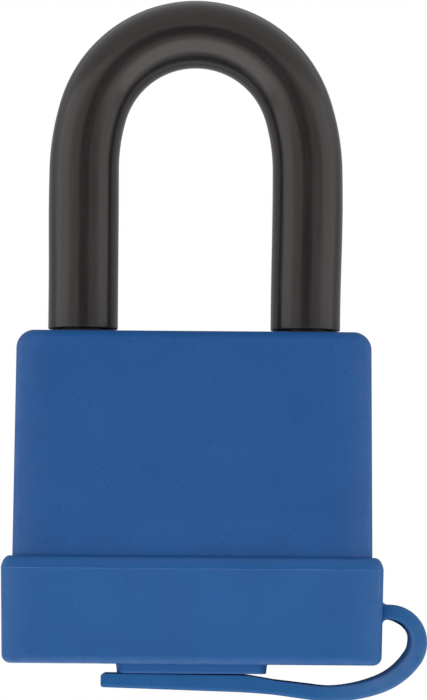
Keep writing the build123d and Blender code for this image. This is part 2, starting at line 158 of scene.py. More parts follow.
def rounded_edge(corner: Pair, reach: Pair, steps: int) -> Array:
    """Quarter of an ellipse that rounds a profile's corner, from its level face to its upright one.

    Each place is the corner, plus the reach times one less the sine and one less the cosine of the turn.

    Args:
        corner: Place of the sharp corner, across and up.
        reach: How far the rounding runs from it, across and up.
        steps: Number of steps.

    Returns:
        The places, N by 2.
    """
    turn = quarter_turn(steps)
    return np.array(corner) + np.array(reach) * (1 - np.column_stack([np.sin(turn), np.cos(turn)]))


def mirror_quarter(quarter: Array, across: Array | float = FLIP_X, along: Array | float = FLIP_Y) -> Array:
    """Closes a quarter of a loop, by a factor across X and then one across Y, with no repeated end."""
    half = np.concatenate([quarter, quarter[-2::-1] * across])
    return np.concatenate([half, half[-2:0:-1] * along])


@dataclass(frozen=True)
class LoopCount:
    """Steps of a rounded rectangle along half a short side, a corner and half a long side."""

    side: int = 8
    corner: int = 8
    front: int = 20

    def corner_share(self) -> Array:
        """Share of corner at each point of the loop: the sine of twice the corner's angle."""
        stretches = [np.zeros(self.side), np.sin(2 * quarter_turn(self.corner)), np.zeros(self.front)]
        return mirror_quarter(np.concatenate(stretches), 1.0, 1.0)


def rounded_loop(width: float, depth: float, corner: float, count: LoopCount) -> Array:
    """Points of a rounded rectangle, anticlockwise from the middle of its right side.

    A quarter is half a short side, a quarter circle and half a long side, and two mirrors close it.

    Args:
        width: Size along the first axis.
        depth: Size along the second axis.
        corner: Corner radius.
        count: Steps along each stretch.

    Returns:
        The points, N by 2.
    """
    half = np.array([width, depth]) / 2
    straight = half - corner
    rise = tightening(count.side)[:-1]
    run = tightening(count.front)[-2::-1]
    side = np.column_stack([np.full_like(rise, half[0]), rise * straight[1]])
    arc = straight + corner * ring(quarter_turn(count.corner))
    front = np.column_stack([run * straight[0], np.full_like(run, half[1])])
    return mirror_quarter(np.concatenate([side, arc, front]))


def rounded_loops(width: Array, depth: Array, corner: Array, count: LoopCount) -> Array:
    """Rounded rectangles for whole arrays of sizes, each point linear in width, depth and corner.

    Args:
        width: Sizes along the first axis, one for each row.
        depth: Sizes along the second axis.
        corner: Corner radii.
        count: Steps along each stretch.

    Returns:
        The points, rows by N by 2.
    """
    sizes = np.broadcast_arrays(*(np.atleast_1d(size) for size in (width, depth, corner)))
    shapes = [rounded_loop(*unit, count) for unit in np.eye(3)]
    return sum(size[:, None, None] * shape for size, shape in zip(sizes, shapes))


def lift(loops: Array, level: Array) -> Array:
    """Puts flat loops, rows by N by 2, at the level of each row."""
    height = np.broadcast_to(np.reshape(level, (-1, 1, 1)), (*loops.shape[:2], 1))
    return np.concatenate([loops, height], axis=2)


def circle_rows(profile: Array, angle: Array, centre: Array) -> Array:
    """Carries a profile of radius and height round an upright axis, with one column for each angle."""
    return lift(centre + profile[:, :1, None] * ring(angle), profile[:, 1])


def side_highlight_share(grid: Array, reach: float = 6.0) -> Array:
    """Painted highlight on a wall: 1 where a row is widest, and a square that ends at the reach."""
    out = np.abs(grid[..., 0])
    return np.clip(1 - (out.max(axis=1, keepdims=True) - out) / reach, 0.0, 1.0) ** 2


class ArcPath:
    """A line of straight runs and arcs in the XZ plane, each tangent to the next."""

    def __init__(self, start: Pair, heading: float, runs: Sequence[Pair]) -> None:
        """Works out where every run starts.

        Args:
            start: X and Z of the first point.
            heading: First direction, in degrees from +X towards +Z.
            runs: Length of each run, and its turn in degrees, anticlockwise above 0.
        """
        table = np.array(runs, float)
        self.lengths = table[:, 0]
        self.turns = np.radians(table[:, 1])
        self.begins = np.concatenate([[0.0], np.cumsum(self.lengths)])
        self.headings = math.radians(heading) + np.concatenate([[0.0], np.cumsum(self.turns)])
        steps = self._chord(self.lengths, self.turns, self.headings[:-1])
        self.starts = np.array(start) + np.concatenate([np.zeros((1, 2)), np.cumsum(steps, axis=0)])

    @property
    def length(self) -> float:
        """Length of the whole line."""
        return float(self.begins[-1])

    @staticmethod
    def _chord(distance: Array, turn: Array, heading: Array) -> Array:
        """Chords of arcs: length times the sine of half the turn over that half, along the mean heading."""
        span = distance * np.sinc(turn / (2 * np.pi))
        return span[:, None] * ring(heading + turn / 2)

    def at(self, distance: Array) -> tuple[Array, Array]:
        """Points and headings on the line.

        Args:
            distance: Distances from its start.

        Returns:
            The points, N by 2, and the headings in radians.
        """
        run = np.clip(np.searchsorted(self.begins, distance, side="right") - 1, 0, len(self.lengths) - 1)
        rest = distance - self.begins[run]
        turn = self.turns[run] * rest / self.lengths[run]
        heading = self.headings[run]
        return self.starts[run] + self._chord(rest, turn, heading), heading + turn

    def carry(self, distance: Array, section: Array) -> Array:
        """Carries a cross-section along the line.

        Args:
            distance: Distance of each row.
            section: Rows by N by 2, along Y and along the line's left normal.

        Returns:
            The points, rows by N by 3.
        """
        place, heading = self.at(distance)
        normal = np.column_stack([-np.sin(heading), np.cos(heading)])
        flat = place[:, None, :] + section[..., 1:] * normal[:, None, :]
        return np.stack([flat[..., 0], section[..., 0], flat[..., 1]], axis=-1)


class Skin:
    """Gathers grids of points into one welded, smooth mesh."""

    def __init__(self, name: str) -> None:
        """Starts an empty skin.

        Args:
            name: Name of the piece.
        """
        self.name = name
        self._points: list[Array] = []
        self._quads: list[Array] = []
        self._maps: list[Array] = []
        self._lighter_edges: list[Array] = []
        self._count = 0

    def add(self, grid: Array, edge: Array | float) -> None:
        """Adds a grid whose last column meets its first.

        Args:
            grid: Points in millimetres, rows by columns by 3.
            edge: Share of lighter edge at each point, for scuffs and painted highlight and light, spread
                over the grid.
        """
        share = np.broadcast_to(edge, grid.shape[:2])
        grid = np.concatenate([grid, grid[:, :1]], axis=1)
        share = np.concatenate([share, share[:, :1]], axis=1)
        rows, columns = grid.shape[:2]
        index = np.arange(rows * columns).reshape(rows, columns) + self._count
        quads = np.stack([index[:-1, :-1], index[:-1, 1:], index[1:, 1:], index[1:, :-1]], axis=-1)
        steps = np.linalg.norm(np.diff(grid, axis=0), axis=2).mean(axis=1)
        along = np.concatenate([[0.0], np.cumsum(steps)]) * MM
        around = np.linspace(0.0, 1.0, columns)
        maps = np.stack(np.meshgrid(around, along), axis=-1)
        self._points.append(grid.reshape(-1, 3) * MM)
        self._quads.append(quads.reshape(-1, 4))
        self._maps.append(maps.reshape(-1, 2))
        self._lighter_edges.append(share.reshape(-1))
        self._count += rows * columns

    def build(self) -> Piece:
        """Makes the object: joins the grids, welds their shared edges and turns every face outwards.

        Returns:
            The new object, at the origin.
        """
        quads = np.concatenate(self._quads)
        mesh = bpy.data.meshes.new(self.name)
        mesh.from_pydata(np.concatenate(self._points), [], quads)
        layer = mesh.uv_layers.new(name="around_along")
        maps = np.concatenate(self._maps)[quads.ravel()]
        layer.uv.foreach_set("vector", maps.astype(np.float32).ravel())
        # The edge attribute holds scuffs and painted highlight and light, which the plastic finish turns
        # lighter.
        edge = mesh.attributes.new("edge", "FLOAT", "POINT")
        edge.data.foreach_set("value", np.concatenate(self._lighter_edges).astype(np.float32))
        shell = bmesh.new()
        shell.from_mesh(mesh)
        bmesh.ops.remove_doubles(shell, verts=shell.verts, dist=WELD)
        bmesh.ops.recalc_face_normals(shell, faces=shell.faces)
        shell.to_mesh(mesh)
        shell.free()
        mesh.shade_smooth()
        piece = bpy.data.objects.new(self.name, mesh)
        bpy.context.scene.collection.objects.link(piece)
        LOG.info("%s: %d faces", self.name, len(mesh.polygons))
        return piece


class Board:
    """The nodes of one material, or of the world."""

    def __init__(self, owner: Material | bpy.types.World) -> None:
        """Starts with no nodes.

        Args:
            owner: The material or the world.
        """
        owner.use_nodes = True
        self.owner = owner
        self.tree = owner.node_tree
        self.tree.nodes.clear()

    def add(self, kind: str, inputs: dict | None = None, **settings: object) -> Node:
        """Adds a node.

        Args:
            kind: Type of the node.
            inputs: Number, colour or linked socket for each named or numbered input.
            settings: Values for the node's own fields.

        Returns:
            The node.
        """
        node = self.tree.nodes.new(kind)
        for key, value in settings.items():
            setattr(node, key, value)
        for key, value in (inputs or {}).items():
            if isinstance(value, Socket):
                self.tree.links.new(value, node.inputs[key])
            else:
                node.inputs[key].default_value = value
        return node

    def noise(self, vector: Socket, size: float, detail: float = 2.0) -> Socket:
        """Noise around a half, with features of about a size in millimetres and some finer layers."""
        inputs = {"Vector": vector, "Scale": 1.0 / (size * MM), "Detail": detail}
        return self.add("ShaderNodeTexNoise", inputs).outputs["Fac"]

    def spread(self, value: Socket, low: float = 0.0, high: float = 1.0) -> Socket:
        """Maps a noise's usual range to other limits."""
        limits = {"From Min": NOISE_LOW, "From Max": NOISE_HIGH, "To Min": low, "To Max": high}
        return self.add("ShaderNodeMapRange", {"Value": value, **limits}).outputs[0]

    def reckon(self, operation: str, first: Socket | float, second: Socket | float) -> Socket:
        """One step of arithmetic, by the name of its operation."""
        return self.add("ShaderNodeMath", {0: first, 1: second}, operation=operation).outputs[0]

    def mix(self, share: Socket | float, first: Socket | tuple, second: Socket | tuple) -> Socket:
        """Mixes two colours, by the share of the second."""
        return self.add("ShaderNodeMix", {0: share, 6: first, 7: second}, data_type="RGBA").outputs[2]

    def merge(self, share: Socket, first: Node, second: Node) -> Node:
        """Mixes two shaders, by the share of the second."""
        return self.add("ShaderNodeMixShader", {0: share, 1: first.outputs[0], 2: second.outputs[0]})

    def object_place(self) -> Socket:
        """Coordinates on the object, in metres."""
        return self.add("ShaderNodeTexCoord").outputs["Object"]

    def stretched(self, place: Socket, factors: Point) -> Socket:
        """Coordinates with a factor on each axis."""
        return self.add("ShaderNodeMapping", {"Vector": place, "Scale": factors}).outputs[0]

    def seen(self) -> Socket:
        """1 for rays from the camera, and for those that show the stage in gloss or through glass.

        Returns:
            The larger of the three tests.
        """
        tests = self.add("ShaderNodeLightPath").outputs
        total = self.reckon("MAXIMUM", tests["Is Camera Ray"], tests["Is Glossy Ray"])
        return self.reckon("MAXIMUM", total, tests["Is Transmission Ray"])

    def finish(self, shader: Node) -> None:
        """Makes a shader the one that shows."""
        kind = "World" if isinstance(self.owner, bpy.types.World) else "Material"
        self.add(f"ShaderNodeOutput{kind}", {"Surface": shader.outputs[0]})

    def surface(self, inputs: dict, relief: Socket, reach: float) -> Material:
        """Ends a material with a surface shader that has a relief.

        Args:
            inputs: The shader's other inputs.
            relief: Height from 0 to 1.
            reach: Height of 1, in millimetres.

        Returns:
            The material.
        """
        bump = self.add("ShaderNodeBump", {"Height": relief, "Distance": reach * MM, "Strength": 1.0})
        self.finish(self.add("ShaderNodeBsdfPrincipled", {**inputs, "Normal": bump.outputs[0]}))
        return self.owner


def shade(colour: Colour, factor: float = 1.0) -> tuple[float, float, float, float]:
    """A linear colour times a factor, with an alpha of 1."""
    red, green, blue = (min(1.0, part * factor) for part in colour)
    return red, green, blue, 1.0


class Finish(ABC):
    """What a kind of surface looks like."""

    name: str
    colour: Colour
    roughness: float

    def toned(self, board: Board, noise: Socket, tones: Pair) -> Socket:
        """The colour, between a darker and a lighter tone of itself as a noise goes."""
        dark, light = (shade(self.colour, tone) for tone in tones)
        return board.mix(board.spread(noise), dark, light)

    def gloss(self, board: Board, noise: Socket, drift: Pair) -> Socket:
        """The roughness, which drifts between two distances from its own level as a noise goes."""
        return board.spread(noise, *(self.roughness + part for part in drift))

    def material(self) -> Material:
        """Makes the material on a board of its own."""
        return self.paint(Board(bpy.data.materials.new(self.name)))

    @abstractmethod
    def paint(self, board: Board) -> Material:
        """Puts the finish on a board and returns its material."""


@dataclass(frozen=True)
class MouldedPlastic(Finish):
    """Pigmented plastic from an eroded mould: slow colour drift, fine grain, specks painted as the shade
    and highlight of small pits, and edges painted lighter for scuffs and as highlight and light.
    """

    name: str
    colour: Colour
    drift: float = 0.05
    drift_size: float = 9.0
    grain_size: float = 0.22
    grain_height: float = 0.012
    grain_tone: float = 0.05
    roughness: float = 0.5
    rough_drift: float = 0.05
    specular: float = 0.12
    speck_spacing: float = 0.7
    speck_radius: float = 0.14
    speck_share: float = 0.06
    speck_depth: float = 0.65
    pit_shade_and_highlight: Pair = (0.62, 1.6)
    speck_relief: float = -2.0
    pit_highlight_share: float = 0.5
    edge_gain: float = 1.15
    edge_lift: float = 0.12
    edge_polish: float = 0.25
    edge_patch_size: float = 1.6
    edge_patch_limits: Pair = (0.35, 0.65)

    def paint(self, board: Board) -> Material:
        """Colour from drift, grain, specks with painted pit shade and highlight, and edges painted lighter
        for scuffs and as highlight and light, on a grained and pitted surface.

        Args:
            board: The material's board.

        Returns:
            The material.
        """
        place = board.object_place()
        slow = board.noise(place, self.drift_size, detail=3.0)
        grain = board.noise(place, self.grain_size, detail=3.0)
        tone = self.toned(board, slow, (1 - self.drift, 1 + self.drift))
        value = board.spread(grain, 1 - self.grain_tone, 1 + self.grain_tone)
        tone = board.add("ShaderNodeHueSaturation", {"Color": tone, "Value": value}).outputs[0]
        speck, painted_pit_tone = self._specks(board, place, slow)
        tone = board.mix(board.reckon("MULTIPLY", speck, self.speck_depth), tone, painted_pit_tone)
        edge = self._lighter_edges(board, place)
        # Lighter edge colour: scuffs, and painted highlight and light on edges, seams, the cap's foot and
        # the strap's loop.
        lighter_edge_tone = tuple(self.edge_gain * part + self.edge_lift for part in self.colour)
        tone = board.mix(edge, tone, shade(lighter_edge_tone))
        rough = self.gloss(board, slow, (-self.rough_drift, self.rough_drift))
        rough = board.reckon("SUBTRACT", rough, board.reckon("MULTIPLY", edge, self.edge_polish))
        relief = board.reckon("ADD", grain, board.reckon("MULTIPLY", speck, self.speck_relief))
        inputs = {"Base Color": tone, "Roughness": rough, "Specular IOR Level": self.specular}
        return board.surface(inputs, relief, self.grain_height)

    def _specks(self, board: Board, place: Socket, slow: Socket) -> tuple[Socket, Socket]:
        """Small round pits, coloured darker as painted shade or lighter as painted highlight, near the
        points of lucky cells of a scattered pattern.

        Args:
            board: The material's board.
            place: Where the surface is.
            slow: Slow noise, which gathers the marks in patches.

        Returns:
            The marks, and their colour of painted shade or painted highlight.
        """
        scale = 1.0 / (self.speck_spacing * MM)
        cells = board.add("ShaderNodeTexVoronoi", {"Vector": place, "Scale": scale}).outputs
        near = board.reckon("LESS_THAN", cells["Distance"], self.speck_radius / self.speck_spacing)
        draws = board.add("ShaderNodeSeparateColor", {"Color": cells["Color"]}).outputs
        chosen = board.reckon("LESS_THAN", draws[0], board.spread(slow, 0.0, 2 * self.speck_share))
        # The dark and light tones paint the shade and highlight of small pits.
        dark, light = (shade(self.colour, tone) for tone in self.pit_shade_and_highlight)
        tone = board.mix(board.reckon("LESS_THAN", draws[2], self.pit_highlight_share), dark, light)
        return board.reckon("MULTIPLY", near, chosen), tone

    def _lighter_edges(self, board: Board, place: Socket) -> Socket:
        """Share of lighter edge, for scuffs and painted highlight and light: the mesh's own edge value,
        broken up by noise.

        Args:
            board: The material's board.
            place: Where the surface is.

        Returns:
            The share.
        """
        edge = board.add("ShaderNodeAttribute", attribute_name="edge").outputs["Fac"]
        patchy = board.spread(board.noise(place, self.edge_patch_size, detail=4.0), *self.edge_patch_limits)
        return board.reckon("MULTIPLY", edge, patchy)


@dataclass(frozen=True)
class SleevePlastic(Finish):
    """Smooth dark plastic sleeve: faint lengthwise streaks, slow waves and small scuffs in its gloss."""

    name: str
    colour: Colour
    roughness: float = 0.22
    specular: float = 0.37
    tint: Colour = (1.0, 0.94, 0.91)
    streak_length: float = 14.0
    streak_width: float = 0.035
    streak_tones: Pair = (0.85, 1.2)
    streak_gloss: Pair = (-0.03, 0.04)
    scuff_size: float = 0.5
    scuff_gloss: Pair = (-0.03, 0.03)
    scuff_height: float = 0.08
    wave_size: float = 5.0
    wave_height: float = 0.02

    def paint(self, board: Board) -> Material:
        """Streaks along the sleeve in colour and gloss, on a slightly wavy surface.

        Args:
            board: The material's board.

        Returns:
            The material.
        """
        place = board.object_place()
        around = board.add("ShaderNodeUVMap", uv_map="around_along").outputs[0]
        factors = (self.streak_length * MM / self.streak_width, 1.0, 1.0)
        streak = board.noise(board.stretched(around, factors), self.streak_length, detail=3.0)
        scuff = board.noise(place, self.scuff_size, detail=4.0)
        wave = board.noise(place, self.wave_size, detail=1.0)
        rough = self.gloss(board, streak, self.streak_gloss)
        inputs = {
            "Base Color": self.toned(board, streak, self.streak_tones),
            "Roughness": board.reckon("ADD", rough, board.spread(scuff, *self.scuff_gloss)),
            "Specular IOR Level": self.specular,
            "Specular Tint": shade(self.tint),
        }
        relief = board.reckon("ADD", wave, board.reckon("MULTIPLY", scuff, self.scuff_height))
        return board.surface(inputs, relief, self.wave_height)


@dataclass(frozen=True)
class SealRubber(Finish):
    """Matt black rubber with a fine bloom on it."""

    name: str
    colour: Colour
    roughness: float = 0.72
    bloom_size: float = 0.7
    bloom_tones: Pair = (0.8, 1.6)
    bloom_gloss: Pair = (-0.08, 0.08)
    grain_size: float = 0.12
    grain_height: float = 0.01

    def paint(self, board: Board) -> Material:
        """Bloom in colour and gloss, on a fine grain.

        Args:
            board: The material's board.

        Returns:
            The material.
        """
        place = board.object_place()
        bloom = board.noise(place, self.bloom_size, detail=4.0)
        inputs = {
            "Base Color": self.toned(board, bloom, self.bloom_tones),
            "Roughness": self.gloss(board, bloom, self.bloom_gloss),
        }
        return board.surface(inputs, board.noise(place, self.grain_size), self.grain_height)


@dataclass(frozen=True)
class WorkedMetal(Finish):
    """Machined metal: tool lines stretched along chosen axes, and a faint tarnish."""

    name: str
    colour: Colour
    tarnish: Colour
    line_factors: Point
    roughness: float
    line_size: float = 0.15
    line_height: float = 0.004
    line_gloss: Pair = (-0.05, 0.07)
    cloud_size: float = 4.0
    cloud_share: float = 0.45
    cloud_gloss: Pair = (-0.03, 0.06)

    def paint(self, board: Board) -> Material:
        """Clouds of tarnish over lines in gloss and relief.

        Args:
            board: The material's board.

        Returns:
            The material.
        """
        place = board.object_place()
        lines = board.noise(board.stretched(place, self.line_factors), self.line_size, detail=3.0)
        cloud = board.noise(place, self.cloud_size, detail=4.0)
        rough = self.gloss(board, lines, self.line_gloss)
        tarnished = board.spread(cloud, 0.0, self.cloud_share)
        inputs = {
            "Base Color": board.mix(tarnished, shade(self.colour), shade(self.tarnish)),
            "Roughness": board.reckon("ADD", rough, board.spread(cloud, *self.cloud_gloss)),
            "Metallic": 1.0,
        }
        return board.surface(inputs, lines, self.line_height)


JACKET_BLUE = (0.0113, 0.0835, 0.2720)
CAP_BLUE = (0.0145, 0.0973, 0.2980)
COVER_BLUE = (0.0240, 0.1120, 0.3020)
SLEEVE_BLACK = (0.0160, 0.0147, 0.0141)
RUBBER_BLACK = (0.010, 0.010, 0.010)
BRASS = (0.72, 0.50, 0.20)
BRASS_TARNISH = (0.42, 0.27, 0.10)
STEEL = (0.60, 0.60, 0.59)
STEEL_TARNISH = (0.38, 0.38, 0.38)

FINISHES = {
    Slot.JACKET: MouldedPlastic("eroded jacket plastic", JACKET_BLUE, speck_share=0.3),
    Slot.CAP: MouldedPlastic(
        "satin cap plastic",
        CAP_BLUE,
        grain_height=0.006,
        grain_tone=0.025,
        roughness=0.42,
    ),
    Slot.COVER: MouldedPlastic(
        "supple cover plastic",
        COVER_BLUE,
        grain_height=0.005,
        grain_tone=0.025,
        roughness=0.6,
        specular=0.0,
    ),
    Slot.SLEEVE: SleevePlastic("sleeve plastic", SLEEVE_BLACK),
    Slot.SEAL: SealRubber("seal rubber", RUBBER_BLACK),
    Slot.SHACKLE: WorkedMetal("plated shackle bar", STEEL, STEEL_TARNISH, (1.0, 1.0, 0.03), 0.22),
    Slot.HARDENED: WorkedMetal("hardened steel", STEEL, STEEL_TARNISH, (0.05, 1.0, 1.0), 0.30),
    Slot.SPRING: WorkedMetal("spring wire", STEEL, STEEL_TARNISH, (1.0, 1.0, 1.0), 0.32),
    Slot.BODY: WorkedMetal("milled brass", BRASS, BRASS_TARNISH, (1.0, 0.04, 1.0), 0.30),
    Slot.CYLINDER: WorkedMetal("turned brass", BRASS, BRASS_TARNISH, (1.0, 1.0, 0.05), 0.24),
}


class Wardrobe:
    """Makes each finish once and dresses pieces in it."""

    def __init__(self) -> None:
        """Makes every finish's material."""
        self.materials = {slot: finish.material() for slot, finish in FINISHES.items()}

    def dress(self, piece: Piece, slot: Slot) -> None:
        """Gives a new piece its finish."""
        piece.data.materials.append(self.materials[slot])

    def dress_nodes(self, nodes: dict[str, Piece]) -> None:
        """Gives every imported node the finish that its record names.

        Args:
            nodes: The nodes by name.
        """
        for node in nodes.values():
            for holder in node.material_slots:
                holder.material = self.materials[Slot(holder.material.name)]


class Moulding(ABC):
    """A piece worked out as grids, dressed in one finish and put in its place."""

    name: str
    slot: Slot

    @abstractmethod
    def grids(self) -> list[LighterEdges]:
        """Works out the piece's grids, each with its shares of lighter edge, for scuffs and painted
        highlight and light.
        """

    @abstractmethod
    def seat(self, piece: Piece) -> None:
        """Puts the piece on its body, in its node's place."""

    def build(self, wardrobe: Wardrobe) -> Piece:
        """Makes the piece, dresses it and puts it in its place.

        Args:
            wardrobe: The finishes.

        Returns:
            The piece.
        """
        skin = Skin(self.name)
        for grid, edge in self.grids():
            skin.add(grid, edge)
        piece = skin.build()
        wardrobe.dress(piece, self.slot)
        self.seat(piece)
        return piece


@dataclass(frozen=True)
class BodyJacket(Moulding):
    """Moulded jacket over the lock body, with drafted walls, rounded shoulders and two leg holes."""

    name: str = "jacket_shell"
    slot: Slot = Slot.JACKET
    foot_size: Pair = (50.26, 20.16)
    drafts: Pair = (0.45, 0.35)
    foot: float = 2.05
    top: float = 46.3
    shoulder: float = 2.5
    edge: float = 1.1
    cavity_size: Pair = (45.3, 15.2)
    cavity_corner: float = 0.8
    ceiling: float = 44.3
    seat_radius: float = 4.55
    seat_floor: float = 45.25
    seat_edge: float = 0.25
    leg_bore: float = 3.4
    # Painted highlight on the corners and on the widest sides.
    edge_scuff_and_highlight: float = 0.5
    side_highlight: float = 0.4
    count: LoopCount = LoopCount()
    shoulder_steps: int = 18
    wall_steps: int = 24
    cavity_steps: int = 6
    lip_steps: int = 5
    plate_steps: int = 4
    middle_steps: int = 12

    def grids(self) -> list[LighterEdges]:
        """The walls, and both halves of the top with their leg holes.

        Returns:
            The grids with their shares of painted highlight.
        """
        walls, lighter_edge = self._walls()
        holes = [(self._leg_hole(walls[0], walls[-1], side), 0.0) for side in (-1.0, 1.0)]
        return [(walls, lighter_edge), *holes]

    def seat(self, piece: Piece) -> None:
        """Puts the jacket on the case."""
        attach(piece, Body.LOCK_CASE.value)
        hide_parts("body_jacket")

    def _sections(self, level: Array) -> Array:
        """Level cuts through the outside, which has round shoulders and an edge rounded front and back.

        On the edge, a step forward moves the outline in by the edge's radius less its cosine side. In the
        shoulder, the outline is an arc, and moving it in makes the arc's radius smaller.

        Args:
            level: Height of each cut.

        Returns:
            The points, rows by N by 2.
        """
        climb = (level - self.foot) / (self.top - self.foot)
        half_width = self.foot_size[0] / 2 - self.drafts[0] * climb
        half_depth = self.foot_size[1] / 2 - self.drafts[1] * climb
        rise = np.clip(level - (self.top - self.shoulder), 0.0, self.shoulder)
        left = np.clip(self.top - level, 0.0, self.edge)
        reach = np.sqrt(self.edge ** 2 - (self.edge - left) ** 2)
        step = np.sin(quarter_turn(self.count.corner))[:, None] * reach
        inset = self.edge - np.sqrt(self.edge ** 2 - step ** 2)
        arm = np.sqrt(np.maximum((self.shoulder - inset) ** 2 - rise ** 2, 0.0))
        corner_x = half_width - self.shoulder + arm
        flat = half_depth - self.edge
        side_y = tightening(self.count.side)[:-1, None] * flat
        side_x = np.broadcast_to(corner_x[:1], side_y.shape)
        front_x = tightening(self.count.front)[-2::-1, None] * corner_x[-1:]
        front_y = np.broadcast_to(flat + reach, front_x.shape)
        across = np.concatenate([side_x, corner_x, front_x])
        along = np.concatenate([side_y, flat + step, front_y])
        return mirror_quarter(np.stack([across, along], axis=-1)).swapaxes(0, 1)

    def _walls(self) -> tuple[Array, Array]:
        """Walls from the top's rim down the outside, across the foot and up the cavity.

        Returns:
            The grid and its shares of painted highlight, on the corners and the sides.
        """
        turn = quarter_turn(self.shoulder_steps)[::-1]
        crest = self.top - self.shoulder * (1 - np.sin(turn))
        wall = crest[-1] + (self.foot - crest[-1]) * eased(self.wall_steps)[1:]
        level = np.concatenate([crest, wall])
        outside = lift(self._sections(level), level)
        hollow = self.foot + (self.ceiling - self.foot) * eased(self.cavity_steps)
        corner = np.full_like(hollow, self.cavity_corner)
        inside = lift(rounded_loops(*self.cavity_size, corner, self.count), hollow)
        # Painted highlight on the rounded corners, and on the sides where they are widest.
        edges = self.edge_scuff_and_highlight * self.count.corner_share()
        lighter_edge = np.maximum(edges, self.side_highlight * side_highlight_share(outside))
        return np.concatenate([outside, inside]), np.concatenate([lighter_edge, np.zeros(inside.shape[:2])])

    def _half_rim(self, loop: Array, side: float) -> Array:
        """Rim of one half of a plate: half of a loop, closed along the middle line.

        Args:
            loop: The whole loop at its level.
            side: Side of the half.

        Returns:
            The rim's points.
        """
        step = len(loop) // 4
        half = np.concatenate([loop[3 * step:], loop[:step + 1]])
        share = np.linspace(1.0, 0.0, self.middle_steps + 1)[1:-1, None]
        middle = half[-1] * share + half[0] * (1 - share)
        return np.concatenate([half, middle]) * np.array([side, 1.0, 1.0])

    def _leg_hole(self, top_loop: Array, ceiling_loop: Array, side: float) -> Array:
        """One half of the top with its leg hole, from the rim through the seal's seat to the cavity.

        A column runs from the rim straight towards the leg's axis, so it keeps its angle round the leg.

        Args:
            top_loop: Loop round the top.
            ceiling_loop: Loop round the cavity's ceiling.
            side: Side of the half.

        Returns:
            The grid.
        """
        centre = np.array([side * LEG_X, 0.0])
        rim = self._half_rim(top_loop, side)
        away = rim[:, :2] - centre
        lip = rounded_edge((self.seat_radius, self.top), (self.seat_edge, -self.seat_edge), self.lip_steps)
        drop = np.array([
            [self.seat_radius, self.seat_floor],
            [self.leg_bore, self.seat_floor],
            [self.leg_bore, self.ceiling],
        ])
        hole = circle_rows(np.concatenate([lip, drop]), np.arctan2(away[:, 1], away[:, 0]), centre)
        share = eased(self.plate_steps)[:-1, None, None]
        plate = rim[None] * (1 - share) + hole[:1] * share
        return np.concatenate([plate, hole, self._half_rim(ceiling_loop, side)[None]])


